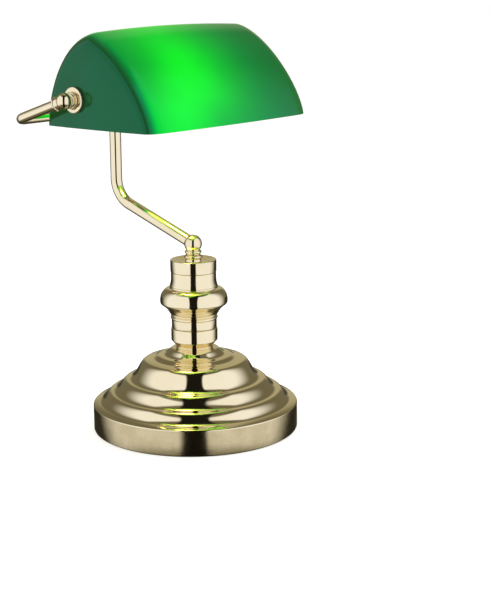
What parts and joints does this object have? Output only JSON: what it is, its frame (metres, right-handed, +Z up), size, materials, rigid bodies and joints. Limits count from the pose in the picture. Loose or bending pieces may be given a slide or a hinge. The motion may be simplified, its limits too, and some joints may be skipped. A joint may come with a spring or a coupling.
{
  "type": "banker desk lamp",
  "caption": "Desk lamp with a stepped brass base and turned column, a bent swivelling arm and a yoke that carries a tilting green glass shade over a screw-in bulb.",
  "frame": {"origin": "on the table, on the axis of the column, at the underside of the felt pad", "axes": "+Z up the column, X along the shade, -Y towards the front, where the deeper side of the shade faces"},
  "size_m": [0.25, 0.1931, 0.36],
  "materials": {
    "brass_polished": "polished, pale champagne gold",
    "steel_zinc": "zinc plated",
    "iron_cast": "rough cast, painted",
    "felt_dark": "pressed felt",
    "rubber_black": "matte",
    "ceramic_white": "glazed ceramic",
    "lead_black": "PVC sheath",
    "glass_green": "gloss outside, opal white inside",
    "glass_frosted": "frosted inside",
    "glass_clear": "clear",
    "glass_black": "opaque",
    "cap_nickel": "bright"
  },
  "bodies": {
    "base": {"base_shell": "brass_polished", "base_weight": "iron_cast", "bottom_plate": "steel_zinc", "felt_pad": "felt_dark", "plate_screws": "steel_zinc", "cord_gland": "rubber_black", "terminal_block": "ceramic_white", "tie_tube": "steel_zinc", "tie_washers": "steel_zinc", "tie_nuts": "steel_zinc", "column_barrel": "brass_polished", "barrel_sleeve": "brass_polished", "collar_ring": "brass_polished", "column_cup": "brass_polished", "column_neck": "brass_polished", "neck_cap": "brass_polished", "base_lead": "lead_black"},
    "arm": {"spindle": "brass_polished", "swivel_washer": "steel_zinc", "swivel_nut": "steel_zinc", "arm_tube": "brass_polished", "tee_fitting": "brass_polished", "yoke_tube_left": "brass_polished", "yoke_tube_right": "brass_polished", "elbow_left": "brass_polished", "elbow_right": "brass_polished", "pivot_stud_left": "steel_zinc", "pivot_stud_right": "steel_zinc", "flange_left": "brass_polished", "flange_right": "brass_polished", "inner_washers": "steel_zinc", "stud_nuts": "steel_zinc", "holder_cap": "brass_polished", "holder_skirt": "brass_polished", "holder_core": "ceramic_white", "holder_shell": "brass_polished", "holder_contact": "brass_polished", "terminal_screws": "steel_zinc", "arm_lead": "lead_black"},
    "shade": {"glass_shade": "glass_green", "shade_bush_left": "rubber_black", "shade_bush_right": "rubber_black"},
    "bulb": {"bulb_glass": "glass_frosted", "bulb_cap": "cap_nickel", "bulb_insulator": "glass_black", "bulb_contact": "cap_nickel", "bulb_stem": "glass_clear", "bulb_filament": "steel_zinc"}
  },
  "joints": [
    {"name": "arm_swivel", "type": "hinge", "parent": "base", "child": "arm", "pos_m": [0, 0, 0.15], "axis": [0, 0, 1], "range_deg": [-90, 90]},
    {"name": "shade_tilt", "type": "hinge", "parent": "arm", "child": "shade", "pos_m": [0, 0.0347, 0.30225], "axis": [1, 0, 0], "range_deg": [-60, 50]},
    {"name": "bulb_withdraw", "type": "slide", "parent": "arm", "child": "bulb", "axis": [1, 0, 0], "range_m": [0, 0.028]}
  ]
}
